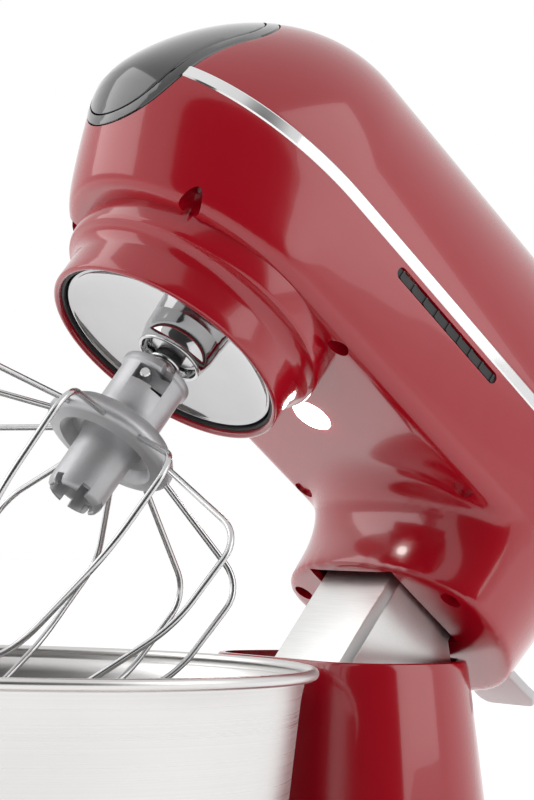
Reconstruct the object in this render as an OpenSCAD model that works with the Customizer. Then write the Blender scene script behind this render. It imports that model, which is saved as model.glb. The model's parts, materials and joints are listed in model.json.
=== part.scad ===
// Tilt-head stand mixer. Millimetres. Floor at z = 0, bowl axis on x = y = 0, nose towards -Y.
// Head pieces are written with the head lowered and then swung up to the resting angle.

/* [Node] */
// part to draw

/* [Head] */
// angle the head is raised by
head_tilt = 37.3; // [20:0.1:45]
// hinge distance behind the bowl axis
hinge_y = 193.3; // [180:0.1:210]
// hinge height
hinge_z = 152.8; // [130:0.1:165]
// half width of the head
head_w = 60; // [55:0.5:65]
// nose length in front of the bowl axis
nose_l = 81; // [75:0.5:90]
// height of the arch above the trim band
arch_h = 77; // [70:0.5:85]
// height of the trim band
band_z = 273; // [265:0.5:280]
// wall thickness of the shells
wall = 3; // [2.5:0.1:4]

/* [Planetary] */
// distance of the beater shaft from the main shaft
shaft_e = 13.8; // [12:0.1:16]
// direction of the beater shaft at rest
shaft_dir = -17.3; // [-180:0.1:180]
// radius of the tower around the chrome disc
tower_r = 50; // [48:0.5:54]
// teeth on the planet pinion
planet_n = 16; // [14:1:20]
// teeth on the fixed ring gear
ring_n = 42; // [40:1:60]

/* [Bowl] */
// bowl radius at the rolled rim
bowl_r = 113; // [105:0.5:118]
// height of the rim above the floor
bowl_z = 190.3; // [180:0.1:200]
// bowl wall thickness
bowl_t = 1; // [0.8:0.1:2]

/* [Base] */
// half width of the column top
col_w = 52; // [45:0.5:60]
// height of the column top
col_z = 190.5; // [180:0.5:200]
// radius of the foot around the bowl
foot_r = 108; // [100:0.5:118]
// height of the foot
foot_h = 26; // [22:0.5:32]

/* [Hidden] */
$fn = 64;
col_y = 155;
gear_m = 2 * shaft_e / (ring_n - planet_n);
drive_m = 96 / 82;
under_z = 227.5;
frame_y = -94.8;
rim_z = 191.5;
screws = [[46, 36], [39, -43], [51, 117]];

// ---- helpers ----
module cyl(r, z0, z1, x = 0, y = 0) { translate([x, y, z0]) cylinder(h = z1 - z0, r = r); }
module box(a, b) { translate(a) cube(b - a); }
module mirror_x() { children(); mirror([1, 0, 0]) children(); }
module head() {
  translate([0, hinge_y, hinge_z]) rotate([-head_tilt, 0, 0]) translate([0, -hinge_y, -hinge_z]) children();
}
module place() { translate([0, frame_y, 0]) children(); }
module planet() { rotate([0, 0, shaft_dir]) translate([shaft_e, 0, 0]) children(); }

// pointed arch of half width a and height h with a crown of radius r, standing on a block of depth d
module arch(a, h, r, d) {
  r1 = (a * a + (h - r) * (h - r) - r * r) / (2 * (a - r));
  vt = r1 * (h - r) / norm([r1 - a, h - r]);
  intersection() {
    translate([a - r1, 0]) circle(r1, $fn = 128);
    translate([r1 - a, 0]) circle(r1, $fn = 128);
    translate([-a, 0]) square([2 * a, vt]);
  }
  translate([0, h - r]) circle(r);
  translate([-a, -d]) square([2 * a, d]);
}

// side view of the head, o inside the outer skin
module head_side(o) {
  intersection() {
    union() {
      translate([-2, 272]) circle(79 - o, $fn = 96);
      translate([148, 280]) circle(70 - o, $fn = 96);
      translate([-2, under_z]) square([150, 350 - under_z - o]);
      polygon([[-2, 273], [-81 + o, 272], [-84 + o, under_z], [148, under_z], [148, 273]]);
      polygon([[140, 280], [218 - o, 280], [215.5 - o, 235], [215 - o, under_z], [140, under_z]]);
    }
    translate([-90, under_z + o]) square([320, 150]);
  }
}
module head_plan(o) {
  rotate(180) arch(head_w - o, nose_l - o, 45 - o, 158);
  translate([0, 158]) circle(head_w - o);
}
module neck_plan(o) {
  mirror_x() translate([30, 146]) circle(26 - o);
  translate([0, 152]) circle(56 - o);
  translate([-30, 120 + o]) square([60, 40]);
  translate([-56 + o, 146]) square([112 - 2 * o, 6]);
}
module neck_side(o) {
  difference() {
    polygon([[98 + o, 236], [98 + o, 203], [120 + o, 203], [120 + o, rim_z - 1], [208 - o, rim_z - 1],
      [215 - o, 236]]);
    translate([97 + o, under_z + o - 24]) circle(24);
    translate([97, 190]) square([1 + o, under_z - 190 + o]);
  }
}
module head_solid(o) {
  intersection() {
    translate([0, 240, band_z]) rotate([90, 0, 0]) linear_extrude(340) arch(head_w - o, arch_h - o, 45 - o, 60);
    translate([0, 0, 200]) linear_extrude(160) head_plan(o);
    translate([-70, 0, 0]) rotate([90, 0, 90]) linear_extrude(140) head_side(o);
    union() {
      translate([0, 0, under_z]) cylinder(h = 140, r1 = 63.5 - o, r2 = 124.4 - o, $fn = 96);
      box([-70, 0, 180], [70, 240, 360]);
    }
  }
}
module neck_solid(o, z0) {
  intersection() {
    translate([0, 0, z0]) linear_extrude(235 - z0) neck_plan(o);
    translate([-70, 0, 0]) rotate([90, 0, 90]) linear_extrude(140) neck_side(o);
  }
}
// oval seen from the front, filled by the black nose piece
module nose_oval(r, z0, z1) {
  translate([0, -30, 0]) rotate([90, 0, 0]) linear_extrude(70) {
    translate([0, z0]) circle(r);
    translate([0, z1]) circle(r);
    translate([-r, z0]) square([2 * r, z1 - z0]);
  }
}
// spur gear outline
module gear2d(n, m, add, ded, fat) {
  rp = n * m / 2;
  circle(rp - ded);
  for (i = [0:n - 1]) rotate(i * 360 / n)
    polygon([[rp - ded - 0.3, -fat * m * 0.92], [rp, -fat * m * 0.66], [rp + add, -fat * m * 0.36],
      [rp + add, fat * m * 0.36], [rp, fat * m * 0.66], [rp - ded - 0.3, fat * m * 0.92]]);
}
module screw(x, y, z, h, r) { cyl(3.6, z, z + 2.6, x, y); cyl(r, z, z + h, x, y); }

// ---- base ----
module column_plan(o) {
  circle(col_w - o, $fn = 56);
  mirror_x() translate([26, -5]) circle(26 - o, $fn = 40);
  translate([-26, -31 + o]) square([52, 30]);
}
// column between two heights, wider towards the foot, o inside the outer skin
module column(o, z0, z1) {
  k0 = 1 + (col_z - z0) * 0.0028;
  k1 = 1 + (col_z - z1) * 0.0028;
  translate([0, col_y, z0]) linear_extrude(z1 - z0, scale = k1 / k0) scale(k0) column_plan(o);
}
module foot(o, z0, z1) {
  cyl(foot_r - o, z0, z1);
  mirror_x() cyl(34 - o, z0, z1, 52, 200);
  translate([-86 + o, 0, z0]) cube([172 - 2 * o, 200, z1 - z0]);
  translate([-52, 190, z0]) cube([104, 44 - o, z1 - z0]);
}
// room that the turning bowl needs, o more all round
module bowl_room(o) rotate_extrude($fn = 96)
  polygon([[0, 33.5 - o], [60 + o, 33.5 - o], [78 + o, 38.5 - o], [92.5 + o, 53.5 - o], [101 + o, 76], [105 + o, 105],
    [108 + o, 143], [110 + o, 172], [112 + o, 184], [116.3 + o, 188], [116.3 + o, 230], [0, 230]]);
module base_housing() color("#a00d20") difference() {
  union() {
    foot(0, 5, 20);
    foot(3, 20, 23);
    foot(6, 23, foot_h);
    column(0, 20, col_z);
    translate([60, 165, 75]) rotate([0, 90, 0]) cylinder(h = 14, r = 27);
  }
  difference() {
    union() { foot(wall + 1, 4, 22); column(wall, 21, col_z - 3.5); }
    bowl_room(wall);
    mirror_x() box([34, 176, 5.6], [44, 206, 106]);
    for (x = [-70, 70], y = [-50, 190]) cyl(5, 5.6, 23, x * (y > 0 ? 0.86 : 1), y);
    translate([60, 165, 75]) rotate([0, 90, 0]) cylinder(h = 14, r = 8);
  }
  for (x = [-70, 70], y = [-50, 190]) cyl(1.6, 4, 18, x * (y > 0 ? 0.86 : 1), y);
  bowl_room(0);
  box([-24.3, 127, 160], [24.3, 200, col_z + 1]);
  translate([-90, hinge_y, 0]) difference() {
    box([0, 0, 160], [180, 40, 200]);
    translate([0, 0, hinge_z]) rotate([0, 90, 0]) cylinder(h = 180, r = 38);
    box([0, -1, 150], [180, 0.1, 201]);
  }
  translate([55, 165, 75]) rotate([0, 90, 0]) cylinder(h = 40, r = 4.08);
  translate([-40, 228, 13]) rotate([-90, 0, 0]) cylinder(h = 10, r = 6.5);
  cyl(8, 20, 30);
}
module base_cover() color("#202022") difference() {
  foot(wall + 1.2, 3.4, 5.6);
  for (x = [-70, 70], y = [-50, 190]) cyl(2.2, 3, 6, x * (y > 0 ? 0.86 : 1), y);
  for (i = [-3:3]) box([i * 9 - 2, 60, 3], [i * 9 + 2, 100, 6]);
}
module rubber_feet() color("#151515")
  for (x = [-82, 82], y = [-34, 178]) { cyl(9, 0, 3.4, x * (y > 0 ? 0.8 : 1), y); }
module base_screws() color("#8d8d90")
  for (x = [-70, 70], y = [-50, 190]) { cyl(3.6, 1.4, 3.4, x * (y > 0 ? 0.86 : 1), y);
    cyl(1.6, 3, 16, x * (y > 0 ? 0.86 : 1), y); }
module bowl_seat() color("#2a2a2c") difference() {
  union() {
    cyl(60, foot_h, 27.2);
    cyl(46, 27, 34);
    for (i = [0:2]) rotate(i * 120 - 16) rotate_extrude(angle = 32) translate([45, 31.4]) square([4.4, 2.6]);
  }
  cyl(38, 29, 35);
  cyl(3, 20, 35);
}
module hinge_bracket() color("#7c7f84") difference() {
  union() {
    mirror_x() box([24.3, 183, 106], [28.3, 199, 153]);
    mirror_x() translate([24.3, hinge_y, hinge_z]) rotate([0, 90, 0]) cylinder(h = 4, r = 7.8);
    box([-45, 178, 106], [45, 194, 110]);
  }
  translate([-50, hinge_y, hinge_z]) rotate([0, 90, 0]) cylinder(h = 100, r = 4.5);
}
module hinge_pin() color("#b9bcc0") {
  translate([-30.4, hinge_y, hinge_z]) rotate([0, 90, 0]) cylinder(h = 60.8, r = 4.5);
  mirror_x() translate([28.3, hinge_y, hinge_z]) rotate([0, 90, 0]) cylinder(h = 2.1, r = 5.9);
}
module control_board() color("#1d5a34") {
  box([-30, 120, 7], [30, 168, 8.6]);
  color("#303034") { box([-20, 128, 8.6], [-4, 144, 20]); box([6, 130, 8.6], [22, 150, 18]); cyl(5, 8.6, 20, 12, 160); }
}
module cord_inlet() color("#151515") translate([-40, 0, 13]) rotate([-90, 0, 0]) difference() {
  union() {
    translate([0, 0, 226]) cylinder(h = 14, r = 6.4);
    translate([0, 0, 234]) cylinder(h = 3, r = 7.3);
    translate([0, 0, 226]) cylinder(h = 3.9, r = 7.3);
  }
  translate([0, 0, 220]) cylinder(h = 30, r = 3.4);
}
module knob_seat() color("#c9ccd0") translate([74, 165, 75]) rotate([0, 90, 0]) difference() {
  cylinder(h = 1.4, r = 26);
  translate([0, 0, -1]) cylinder(h = 4, r = 10);
}
module speed_knob() color("#232325") translate([0, 165, 75]) rotate([0, 90, 0]) difference() {
  union() {
    translate([0, 0, 75.8]) cylinder(h = 4, r = 22.5);
    translate([0, 0, 79.8]) cylinder(h = 13, r1 = 20, r2 = 18.6);
    translate([0, 0, 58]) cylinder(h = 19, r = 4);
    translate([0, 0, 55]) cylinder(h = 4.2, r = 7);
  }
  for (i = [0:17]) rotate(i * 20) translate([20.6, 0, 80.5]) cylinder(h = 14, r = 1.6);
  translate([-1, 8, 91.4]) cube([2, 10, 3]);
}

// ---- bowl ----
module bowl() color("#c3c5c8") {
  rotate_extrude($fn = 128) {
    polygon([[0, 35.5], [58, 35.5], [76, 41], [90, 55], [98.5, 77], [102.5, 105], [105.5, 143], [107.5, 172],
        [109.5, 186], [112, bowl_z - 1], [112 - bowl_t, bowl_z - 0.5], [109.5 - bowl_t, 186.4],
        [107.5 - bowl_t, 172], [105.5 - bowl_t, 143], [102.5 - bowl_t, 105], [98.5 - bowl_t, 77.4],
        [89.2, 55.8], [75.4, 42], [57.8, 35.5 + bowl_t], [0, 35.5 + bowl_t]]);
    translate([bowl_r, bowl_z - 0.4]) circle(1.8);
  }
}
module bowl_foot() color("#b4b6ba") difference() {
  union() {
    rotate_extrude($fn = 96) polygon([[50, 27.5], [56, 27.5], [56, 35.5], [50, 35.5]]);
    for (i = [0:2]) rotate(i * 120 - 15) rotate_extrude(angle = 30) translate([46.6, 27.7]) square([4, 3.2]);
  }
}

// ---- head, fixed pieces ----
module band_ring(i, p, z0, z1) translate([0, 0, z0]) linear_extrude(z1 - z0) difference() {
  head_plan(-p);
  head_plan(i);
}
module upper_shell() color("#b01226") head() difference() {
  intersection() { head_solid(0); box([-80, -90, band_z], [80, 230, 360]); }
  difference() {
    head_solid(wall);
    mirror_x() for (s = screws) cyl(6, band_z, 345, s[0], s[1]);
  }
  band_ring(1.6, 3, band_z - 1, band_z + 2.7);
  nose_oval(29, 276, 303);
  mirror_x() for (s = screws) cyl(1.9, band_z - 1, 290, s[0], s[1]);
}
module tower(o) rotate_extrude($fn = 96)
  polygon([[0, 198], [tower_r - 2, 198], [tower_r, 200.5], [tower_r, 211], [53, 213], [57, 216.5], [57, 229], [0, 229]]);
module lower_shell() color("#a30f22") head() difference() {
  union() {
    intersection() { head_solid(0); box([-80, -90, 200], [80, 230, band_z]); }
    neck_solid(0, rim_z);
    tower(0);
  }
  difference() {
    union() { head_solid(wall); neck_solid(wall, rim_z + wall); }
    mirror_x() for (s = screws) cyl(7, 220, band_z, s[0], s[1]);
    mirror_x() box([24.6, 140, 214], [57, 200, 217]);
  }
  cyl(46.5, 190, 222);
  cyl(43.9, 221, 236);
  band_ring(1.6, 3, band_z - 2.7, band_z + 1);
  nose_oval(29, 276, 303);
  mirror_x() for (s = screws) { cyl(4.5, 200, 240, s[0], s[1]); cyl(2, 239, band_z + 1, s[0], s[1]); }
  box([-26, 124.5, 180], [26, 171, rim_z + wall + 1]);
  box([-18.6, 197, 198.6], [18.6, 220, 210.6]);
  cyl(7.4, 220, 232, 0, 70);
  mirror_x() box([58.2, 29, 263.2], [62, 99, 268.2]);
  mirror_x() cyl(4.4, 190, 214, 44, 142);
}
module trim_band() color("#d8dade") head() difference() {
  band_ring(1.5, 0.3, band_z - 2.6, band_z + 2.6);
  nose_oval(29.1, 276, 303);
}
module nose_skin(o) { difference() { head_solid(o); head_solid(o + 2.6); } }
module nose_bezel() color("#141416") head() difference() {
  intersection() { nose_skin(0); nose_oval(28.9, 276, 303); }
  nose_oval(25.6, 276, 303);
}
module nose_cover() color("#0c0c0e") head() {
  intersection() { nose_skin(0.3); nose_oval(25.1, 276, 303); }
  for (i = [-1:1]) translate([i * 4.5, -78.5, 262]) rotate([90, 0, 0]) cylinder(h = 2.6, r = 1.3);
}
module vent_inserts() color("#101012") head() mirror_x() {
  box([58.3, 30, 264], [59.2, 98, 267.4]);
  for (i = [0:8]) box([59.1, 34 + i * 7.5, 264], [59.7, 35 + i * 7.5, 267.4]);
}
module led_lens() color("#f4f4ee") head() { cyl(7.3, 227.2, 230.6, 0, 70); cyl(8.2, 230.6, 231.6, 0, 70); }
module led_board() color("#1d5a34") head() { box([-11, 61.5, 232.2], [11, 83.5, 233.8]); color("#f0e8c0") cyl(3, 231.8, 232.4, 0, 70); }
module hinge_block() color("#b9bcc0") head() difference() {
  union() {
    box([-23.7, 129.5, 150], [23.7, 168, 217]);
    translate([-23.7, 0, 0]) rotate([90, 0, 90]) linear_extrude(47.4) union() {
      polygon([[129.5, 217], [129.5, 143], [133, 139], [hinge_y - 6, 139], [hinge_y + 7, 143], [hinge_y + 10, 160],
        [182, 178], [168, 190], [168, 217]]);
      translate([hinge_y, hinge_z]) circle(12.5);
    }
    mirror_x() box([20, 138, 217], [48, 166, 221]);
    box([-23.7, 134, 216], [23.7, 166, 221]);
  }
  translate([-50, hinge_y, hinge_z]) rotate([0, 90, 0]) cylinder(h = 100, r = 4.57);
  box([-18, 140, 158], [18, 160, 212]);
  mirror_x() translate([23.7, 129.5, 130]) rotate([0, 0, 45]) cube([6, 6, 200], center = true);
  mirror_x() difference() {
    box([18, hinge_y - 12, 130], [24.5, 212, 183]);
    translate([17, hinge_y, hinge_z]) rotate([0, 90, 0]) cylinder(h = 9, r = 6.6);
  }
}
module head_screws() color("#6c6c70") head() mirror_x() for (s = screws) screw(s[0], s[1], 237.2, 46, 1.9);
module gearbox_housing() color("#9a9ca0") head() difference() {
  union() {
    cyl(50.8, 230.6, 234);
    cyl(43.8, 223.6, 231);
    cyl(15, 233, 246);
    cyl(12.8, 230.6, 246, 0, 48);
    box([-10, -60, 230.6], [10, -44, 234]);
  }
  cyl(30.1, 222, 231);
  cyl(26, 230, 232.6);
  cyl(5, 228, 250);
  cyl(11, 238.5, 247);
  cyl(11, 238.5, 247, 0, 48);
}
module ring_gear() color("#c8a24a") head() difference() {
  cyl(30, 223.8, 230.4);
  translate([0, 0, 223]) linear_extrude(9) rotate(shaft_dir + 180 / ring_n * 0)
    gear2d_ring();
}
// space inside the ring gear
module gear2d_ring() {
  rp = ring_n * gear_m / 2;
  difference() {
    circle(rp + 0.95, $fn = 96);
    for (i = [0:ring_n - 1]) rotate((i + 0.5) * 360 / ring_n)
      polygon([[rp + 1.4, -gear_m * 0.62], [rp, -gear_m * 0.4], [rp - 0.55, -gear_m * 0.28],
        [rp - 0.55, gear_m * 0.28], [rp, gear_m * 0.4], [rp + 1.4, gear_m * 0.62]]);
  }
}
module bearing(r0, r1, z0, z1, y) {
  difference() { cyl(r1, z0, z1, 0, y); cyl(r0, z0 - 1, z1 + 1, 0, y); }
}
module shaft_bearings() color("#b0b2b6") head() {
  bearing(4.06, 10.95, 238.6, 245.6, 0);
  bearing(4.06, 10.95, 238.6, 245.6, 48);
  bearing(4.06, 10.95, 315.2, 321.8, 48);
}
module drive_bracket() color("#85888c") head() difference() {
  union() {
    mirror_x() cyl(4, 230.6, 319, 38, 86);
    box([-38, 82, 316.4], [38, 90, 319.4]);
    box([-12, 48, 316.4], [12, 90, 319.4]);
    cyl(14, 314.6, 322, 0, 48);
  }
  cyl(11, 315, 323, 0, 48);
  cyl(5, 300, 330, 0, 48);
}
module motor_housing() color("#6b6e73") head() difference() {
  cyl(32, 236, 296, 0, 118);
  cyl(29.2, 239, 293, 0, 118);
  cyl(3.08, 230, 300, 0, 118);
  for (i = [0:7]) rotate(0) translate([20 * cos(i * 45), 118 + 20 * sin(i * 45), 230]) cylinder(h = 12, r = 4);
}
module motor_stator() color("#a05a2c") head() difference() {
  cyl(29.1, 248, 282, 0, 118);
  cyl(22.6, 240, 290, 0, 118);
}
module motor_brushes() color("#3a3a3c") head() for (s = [-1, 1])
  box([min(s * 8.4, s * 20), 115, 286.6], [max(s * 8.4, s * 20), 121, 290.6]);
module motor_mount() color("#161616") head() difference() {
  cyl(24, 230.6, 236, 0, 118);
  cyl(14, 230, 237, 0, 118);
}
module belt() color("#141414") head() translate([0, 0, 301.5]) linear_extrude(9) difference() {
  hull() { translate([0, 48]) circle(39.6); translate([0, 118]) circle(9.6); }
  hull() { translate([0, 48]) circle(38.1); translate([0, 118]) circle(8.1); }
}
module pto_housing() color("#85888c") head() difference() {
  union() {
    box([-10, -58, 234], [10, -48, 300]);
    translate([0, -47, 289.5]) rotate([90, 0, 0]) cylinder(h = 11, r = 16);
  }
  translate([0, -30, 289.5]) rotate([90, 0, 0]) cylinder(h = 50, r = 5.06);
}
module lever_pin() color("#b0b2b6") head() {
  translate([-19.5, 196, 204.6]) rotate([0, 90, 0]) cylinder(h = 39, r = 1.6);
  mirror_x() box([17, 191.5, rim_z + wall], [19.5, 200.5, 208]);
}

// ---- head, moving pieces ----
module release_lever() color("#c6c8cc") head() difference() {
  union() {
    translate([-17, 203, 202.4]) cube([34, 23, 4.4]);
    mirror_x() cyl(6, 202.4, 206.8, 11, 226);
    box([-11, 220, 202.4], [11, 232, 206.8]);
    translate([-16, 196, 204.6]) rotate([0, 90, 0]) cylinder(h = 32, r = 4);
    box([-16, 196, 202.4], [16, 204, 206.8]);
  }
  translate([-30, 196, 204.6]) rotate([0, 90, 0]) cylinder(h = 60, r = 1.68);
}
module motor_rotor() color("#8c5a34") head() {
  cyl(3, 236.5, 316, 0, 118);
  difference() {
    cyl(21, 250, 280, 0, 118);
    for (i = [0:11]) translate([21.5 * cos(i * 30), 118 + 21.5 * sin(i * 30), 249]) cylinder(h = 32, r = 1.6);
  }
  cyl(7.8, 286, 291.4, 0, 118);
  cyl(8, 300, 312, 0, 118);
  cyl(9.4, 299, 300.4, 0, 118);
  cyl(9.4, 312, 313.2, 0, 118);
}
module countershaft() color("#b7b9bd") head() {
  cyl(4, 238.8, 321, 0, 48);
  translate([0, 48, 249.5]) linear_extrude(9) rotate(-90) gear2d(12, drive_m, 0.9, 1.3, 0.95);
  cyl(6, 246.2, 250, 0, 48);
  difference() {
    cyl(38, 300.4, 312, 0, 48);
    for (i = [0:5]) translate([23 * cos(i * 60), 48 + 23 * sin(i * 60), 298]) cylinder(h = 20, r = 8);
  }
  cyl(9, 292, 301, 0, 48);
}
module main_shaft() color("#b7b9bd") head() {
  cyl(4, 216, 282, 0, 0);
  translate([0, 0, 250]) linear_extrude(8) rotate(90 + 180 / 70) gear2d(70, drive_m, 0.9, 1.3, 0.95);
  cyl(9, 246.4, 276, 0, 0);
  difference() {
    translate([0, 0, 277.5]) cylinder(h = 5, r1 = 11.6, r2 = 6.6);
    for (i = [0:15]) rotate(i * 22.5) translate([12, 0, 276.4]) rotate([0, -45, 0]) cylinder(h = 9, r = 0.9);
  }
  cyl(9, 275, 277.6, 0, 0);
}
module planet_carrier() color("#d2d4d8") head() difference() {
  union() {
    cyl(40, 206, 221);
    rotate_extrude($fn = 96) polygon([[0, 205.6], [20, 205], [36, 203.6], [45, 201.6], [45.4, 202.4], [45.4, 204],
      [40, 207], [0, 207]]);
    planet() cyl(14.6, 196, 206);
    planet() translate([0, 0, 192]) cylinder(h = 4.01, r1 = 12.6, r2 = 14.6);
    cyl(6, 220, 222.6);
  }
  planet() cyl(5.58, 190, 224);
  planet() cyl(11, 191, 197.5);
  cyl(4, 216, 230);
}
module pto_socket() color("#c9ccd0") head() difference() {
  union() {
    translate([0, -10, 289.5]) rotate([90, 0, 0]) cylinder(h = 52, r = 5);
    translate([0, -57.6, 289.5]) translate([0, -0.6, 0]) rotate([90, 0, 0]) cylinder(h = 8, r = 17);
    translate([0, -12, 289.5]) rotate([-90, 0, 0]) cylinder(h = 5, r1 = 11.6, r2 = 6.6);
    translate([0, -12, 289.5]) rotate([90, 0, 0]) cylinder(h = 4, r = 10);
  }
  translate([0, -60, 289.5]) rotate([90, 0, 0]) cylinder(h = 10, r = 8, $fn = 6);
  for (i = [0:15]) translate([0, -10.9, 289.5]) rotate([0, i * 22.5 + 11.25, 0]) translate([12, 0, 0])
    rotate([-90, 0, 0]) rotate([0, -45, 0]) cylinder(h = 9, r = 0.9);
}
module beater_shaft() color("#c4c6ca") head() planet() {
  cyl(5.5, 164, 230.2);
  cyl(7.4, 221.2, 224.4);
  translate([0, 0, 224.2]) linear_extrude(6) gear2d(planet_n, gear_m, 0.75, 1.2, 0.85);
  cyl(9.5, 195.4, 197);
  rotate([0, 0, 150]) translate([-10.8, 0, 177]) rotate([0, 90, 0]) cylinder(h = 21.6, r = 2);
}
module whisk_hub() color("#8f9296") head() planet() difference() {
  union() {
    cyl(13, 156, 184);
    cyl(14, 180.6, 184);
    rotate_extrude() polygon([[0, 146], [24, 146], [26.3, 149], [25, 154], [20, 158], [13, 161], [0, 161]]);
    cyl(11, 124, 147);
  }
  cyl(5.58, 160, 190);
  cyl(8.5, 120, 142);
  for (a = [0, 180]) rotate([0, 0, 150 + a]) {
    translate([0, 0, 174.6]) rotate([0, 0, -24]) rotate_extrude(angle = 52) translate([5, 0]) square([10, 4.8]);
    rotate([0, 0, 22]) translate([5, -2.3, 174.6]) cube([10, 4.6, 10]);
  }
  for (i = [0:2]) rotate(i * 60) translate([-15, -2, 122]) cube([30, 4, 8]);
}
// wire along points in the XZ plane, every inner corner rounded to its radius
function unit(v) = v / norm(v);
function turn(a, b, c) = acos(max(-1, min(1, unit(b - a) * unit(c - b))));
function trim(p, r, i) = i == 0 || i == len(p) - 1 ? 0 : r[i] * tan(turn(p[i - 1], p[i], p[i + 1]) / 2);
module wire(p, r, w) {
  for (i = [0:len(p) - 2]) {
    d = unit(p[i + 1] - p[i]);
    a = p[i] + d * trim(p, r, i);
    l = norm(p[i + 1] - p[i]) - trim(p, r, i) - trim(p, r, i + 1);
    translate([a[0], 0, a[1]]) rotate([0, atan2(d[0], d[1]), 0])
      translate([0, 0, i == 0 ? 0 : -0.3]) cylinder(h = l + (i == 0 || i == len(p) - 2 ? 0.3 : 0.6), r = w, $fn = 16);
  }
  for (i = [1:len(p) - 2]) {
    d = unit(p[i] - p[i - 1]);
    q = turn(p[i - 1], p[i], p[i + 1]);
    a = p[i] - d * trim(p, r, i) + [-d[1], d[0]] * r[i];
    translate([a[0], 0, a[1]]) rotate([90, 0, 0]) rotate(atan2(-d[0], d[1]))
      rotate_extrude(angle = q, $fn = 48) translate([r[i], 0]) circle(w + 0.05, $fn = 16);
  }
}
module whisk_wires() color("#c9cbcf") head() planet() for (i = [0:4]) rotate([0, 0, i * 36 + 8]) {
  zb = 51 - i * 2.4;
  wire([[-22, 150.4], [-70, 133], [-67, 92], [-43, zb], [43, zb], [67, 92], [70, 133], [22, 150.4]],
    [0, 14, 50, 26, 26, 50, 14, 0], 1.2);
}

place() base_housing();
place() base_cover();
place() rubber_feet();
place() bowl_seat();
place() hinge_bracket();
place() hinge_pin();
place() control_board();
place() cord_inlet();
place() base_screws();
place() knob_seat();
place() speed_knob();
place() bowl();
place() bowl_foot();
place() upper_shell();
place() lower_shell();
place() trim_band();
place() nose_bezel();
place() vent_inserts();
place() led_lens();
place() led_board();
place() hinge_block();
place() head_screws();
place() gearbox_housing();
place() ring_gear();
place() shaft_bearings();
place() drive_bracket();
place() motor_housing();
place() motor_stator();
place() motor_brushes();
place() motor_mount();
place() belt();
place() pto_housing();
place() lever_pin();
place() nose_cover();
place() release_lever();
place() motor_rotor();
place() countershaft();
place() planet_carrier();
place() main_shaft();
place() pto_socket();
place() beater_shaft();
place() whisk_hub();
place() whisk_wires();
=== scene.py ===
import json
import math

import bpy
from mathutils import Matrix, Vector


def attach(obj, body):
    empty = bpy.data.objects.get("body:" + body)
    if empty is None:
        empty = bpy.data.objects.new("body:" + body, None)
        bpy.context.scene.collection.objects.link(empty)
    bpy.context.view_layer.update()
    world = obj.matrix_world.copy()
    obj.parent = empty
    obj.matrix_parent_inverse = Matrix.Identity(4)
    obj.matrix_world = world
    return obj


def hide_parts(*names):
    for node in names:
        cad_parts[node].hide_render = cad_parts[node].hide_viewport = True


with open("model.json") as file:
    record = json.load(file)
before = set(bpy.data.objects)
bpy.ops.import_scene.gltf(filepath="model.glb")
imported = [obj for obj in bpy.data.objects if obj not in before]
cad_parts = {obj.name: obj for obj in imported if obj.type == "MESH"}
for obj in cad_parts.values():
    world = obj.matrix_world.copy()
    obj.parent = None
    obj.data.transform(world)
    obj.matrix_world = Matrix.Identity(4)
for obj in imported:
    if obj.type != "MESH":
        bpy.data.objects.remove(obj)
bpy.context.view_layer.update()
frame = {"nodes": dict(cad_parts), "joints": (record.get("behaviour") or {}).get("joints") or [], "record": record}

MM = 0.001
JOINTS = {joint["name"]: joint for joint in frame["joints"]}
HINGE = Vector(JOINTS["head_tilt"]["pos_m"])
HEAD_TILT = math.radians(JOINTS["head_tilt"]["range_deg"][1])
BOWL_AXIS = Vector(JOINTS["bowl_twist"]["pos_m"])
BOWL_AXIS.z = 0

# Head pieces are made with the head down and the bowl axis through the origin, then raised.
DOWN_HINGE = Vector((0, 193.3, 152.8)) * MM
RAISE = Matrix.Translation(HINGE) @ Matrix.Rotation(-HEAD_TILT, 4, "X") @ Matrix.Translation(-DOWN_HINGE)
STAND = Matrix.Translation(BOWL_AXIS)

# head, in millimetres: its middle height, half width, nose and back lengths, straight part and crown height
BAND_Z = 273
HEAD_WIDTH = 60
NOSE_LENGTH = 83.6
STRAIGHT = 150
BACK_LENGTH = 68
ARCH = 77
# side outline of the nose: lower slant is straighter, lower round is fuller at the crown
NOSE_SLANT = 1.3
NOSE_ROUND = 2.1
SPHERE_RINGS = 64
SHELL = 2.6
# lower body of the head: height, half width, nose length, back length
LOWER_BODY = [(268, 60, 84, 68), (263.5, 60, 83, 68), (259, 59.9, 81.4, 67.8), (251, 59.7, 77.8, 67.4),
              (243, 59.4, 73.9, 67), (235, 59, 69.6, 66.4), (231, 58.2, 67, 65.6), (228.6, 56.9, 65.2, 64),
              (227.5, 54.8, 63.6, 62)]
# neck: height of its rim, middle of its plan, foot and radius of the sweep up to the head's underside
NECK_RIM = 191.5
NECK_MIDDLE = 148
SWEEP_FOOT = 203.5
SWEEP = 24
# screw holes: side, distance behind the bowl axis, height of the mouth
SCREWS = [(51.5, 33, 226), (39, -45.5, 224), (50, 116.8, 214), (46, 142, 188)]

# whisk and its shaft: distance from the main shaft, and the angle at which it stands at rest
SHAFT_OFFSET = 13.8
SHAFT_TURN = -17.3
SHAFT_X = SHAFT_OFFSET * math.cos(math.radians(SHAFT_TURN))
SHAFT_Y = SHAFT_OFFSET * math.sin(math.radians(SHAFT_TURN))
PIN_TURN = 150
WIRE = 1.2
WIRE_LOOPS = 5
HOLE_RADIUS = 4.4
HOLE_DEPTH = 15
# black panel in the nose: half width, and the heights between which its sides are straight
PANEL = 28.9
PANEL_LOW, PANEL_HIGH = 276, 303
# the lamp sits this far behind the bowl axis
LAMP_Y = 70


# ---- working by hand ----
def clear():
    bpy.ops.object.select_all(action="DESELECT")


def take(*pieces):
    clear()
    for piece in pieces:
        piece.select_set(True)
    bpy.context.view_layer.objects.active = pieces[0]


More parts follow.
